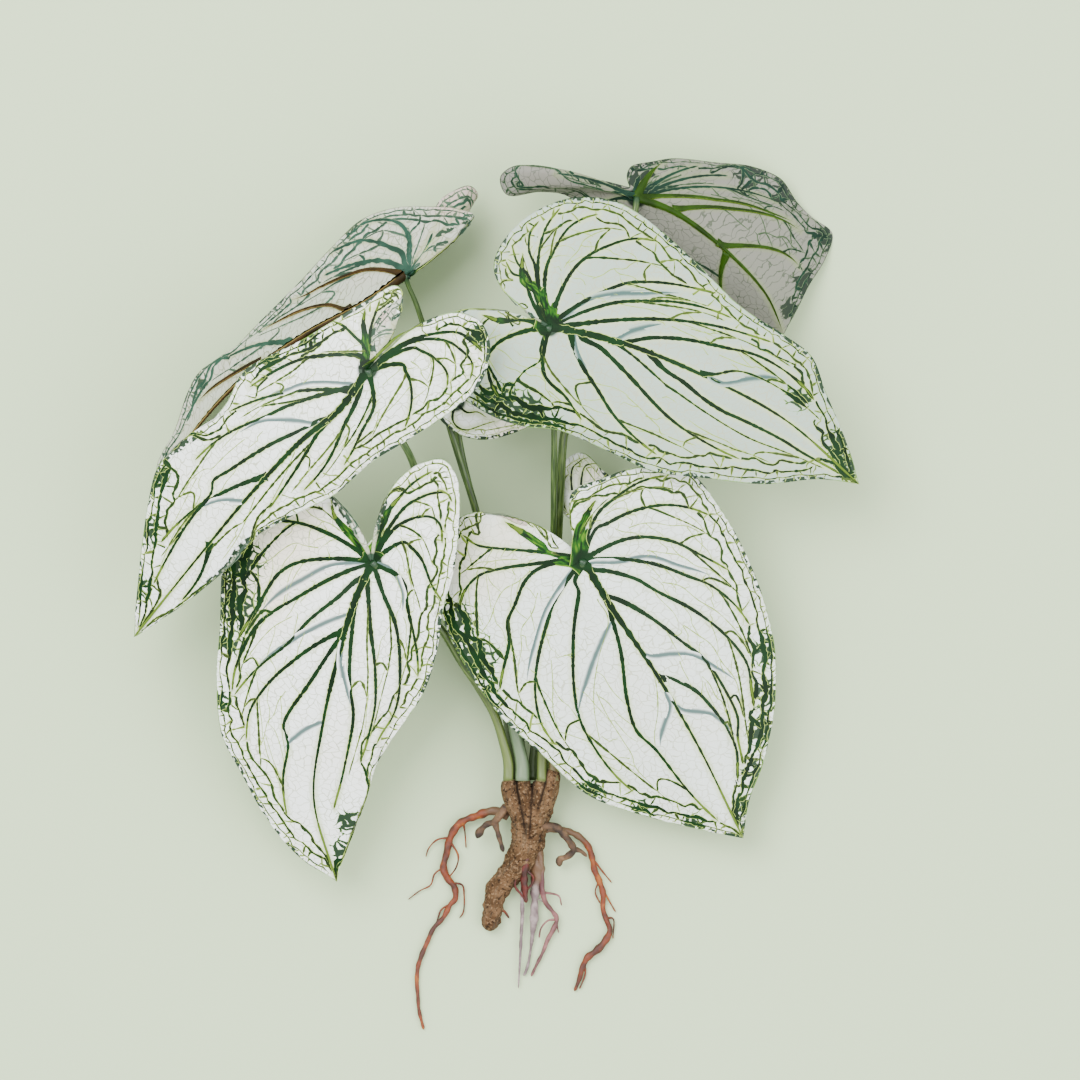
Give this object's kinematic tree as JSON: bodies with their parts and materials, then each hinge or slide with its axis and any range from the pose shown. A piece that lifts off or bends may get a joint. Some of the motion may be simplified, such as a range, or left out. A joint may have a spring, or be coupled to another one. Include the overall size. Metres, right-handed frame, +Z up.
{
  "type": "caladium plant",
  "caption": "Bare-root caladium lying on its back: heart-shaped white leaves with green veins on slender stalks, a brown corm and branching roots.",
  "frame": {"origin": "middle of the plant's box, on the surface it lies on", "axes": "+Y from the roots towards the leaves, +X towards the right-hand leaves seen from above, +Z up"},
  "size_m": [0.363, 0.441, 0.1144],
  "materials": {
    "blade": "soft satin, white between dark green veins",
    "stalk": "smooth satin olive green",
    "corm": "rough dull brown",
    "root_orange": "dull orange brown",
    "root_brown": "dull brown",
    "root_red": "dull dark red",
    "root_pale": "smooth off-white",
    "root_pink": "smooth pale pink"
  },
  "bodies": {
    "root": {"blade_lower_right": "blade", "blade_lower_left": "blade", "blade_middle_left": "blade", "blade_upper_right": "blade", "blade_upper_left": "blade", "blade_top_right": "blade", "blade_small_centre": "blade", "blade_small_right": "blade", "stalk_lower_right": "stalk", "stalk_lower_left": "stalk", "stalk_middle_left": "stalk", "stalk_upper_right": "stalk", "stalk_upper_left": "stalk", "stalk_top_right": "stalk", "stalk_small_centre": "stalk", "stalk_small_right": "stalk", "corm": "corm", "root_orange_left": "root_orange", "root_orange_right": "root_orange", "root_brown_left": "root_brown", "root_brown_right": "root_brown", "root_hook": "root_brown", "root_red": "root_red", "root_white_left": "root_pale", "root_white_right": "root_pale", "root_pink": "root_pink"}
  },
  "joints": []
}
